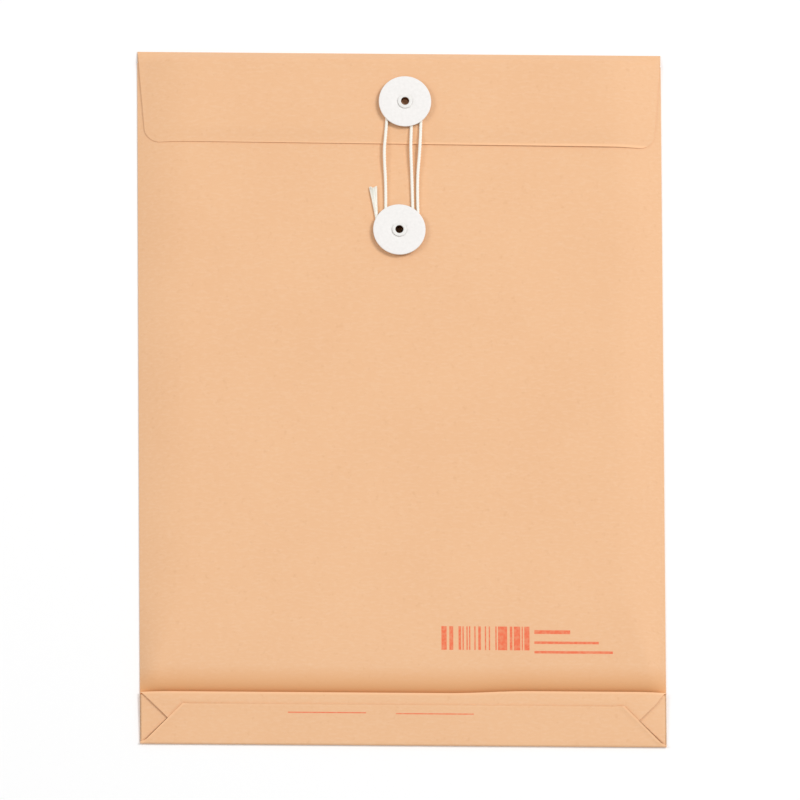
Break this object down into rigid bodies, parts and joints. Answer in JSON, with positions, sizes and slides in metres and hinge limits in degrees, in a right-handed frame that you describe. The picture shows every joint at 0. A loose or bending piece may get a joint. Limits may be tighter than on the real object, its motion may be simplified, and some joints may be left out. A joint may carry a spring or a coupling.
{
  "type": "string tie envelope",
  "caption": "Kraft document envelope with a block bottom folded flat, a hinged closing flap, and a cotton string wound round two riveted card washers.",
  "frame": {"origin": "on the resting plane, under the middle of the envelope's outline", "axes": "+X to the right of the front face, +Y towards the top fold, +Z out of the front face"},
  "size_m": [0.24, 0.3301, 0.0102],
  "materials": {
    "kraft_paper": "matt natural kraft board, lightly fibrous",
    "washer_card": "white coated card, die cut",
    "eyelet_metal": "white lacquered hollow rivet",
    "string_cotton": "twisted white cotton",
    "dried_glue": "dried paper glue"
  },
  "bodies": {
    "pocket": {"back_panel": "kraft_paper", "front_panel": "kraft_paper", "side_seam_tab": "kraft_paper", "side_seam_glue": "dried_glue", "front_return_strip": "kraft_paper", "bottom_tuck_left": "kraft_paper", "bottom_tuck_right": "kraft_paper", "bottom_inner_flap": "kraft_paper", "bottom_glue_line": "dried_glue", "bottom_outer_flap": "kraft_paper", "lower_eyelet": "eyelet_metal"},
    "flap": {"closing_flap": "kraft_paper", "upper_eyelet": "eyelet_metal", "tie_string": "string_cotton", "string_end_tuft": "string_cotton"},
    "upper_disc": {"upper_washer": "washer_card"},
    "lower_disc": {"lower_washer": "washer_card"}
  },
  "joints": [
    {"name": "flap_fold", "type": "hinge", "parent": "pocket", "child": "flap", "pos_m": [0, 0.16465, 0.00035], "axis": [-1, 0, 0], "range_deg": [0, 118], "deforming": ["tie_string"]},
    {"name": "upper_washer_turn", "type": "hinge", "parent": "flap", "child": "upper_disc", "pos_m": [0.0022, 0.1395, 0.00925], "axis": [0, 0, 1], "continuous": true},
    {"name": "lower_washer_turn", "type": "hinge", "parent": "pocket", "child": "lower_disc", "pos_m": [-0.0007, 0.0785, 0.008], "axis": [0, 0, 1], "continuous": true}
  ]
}
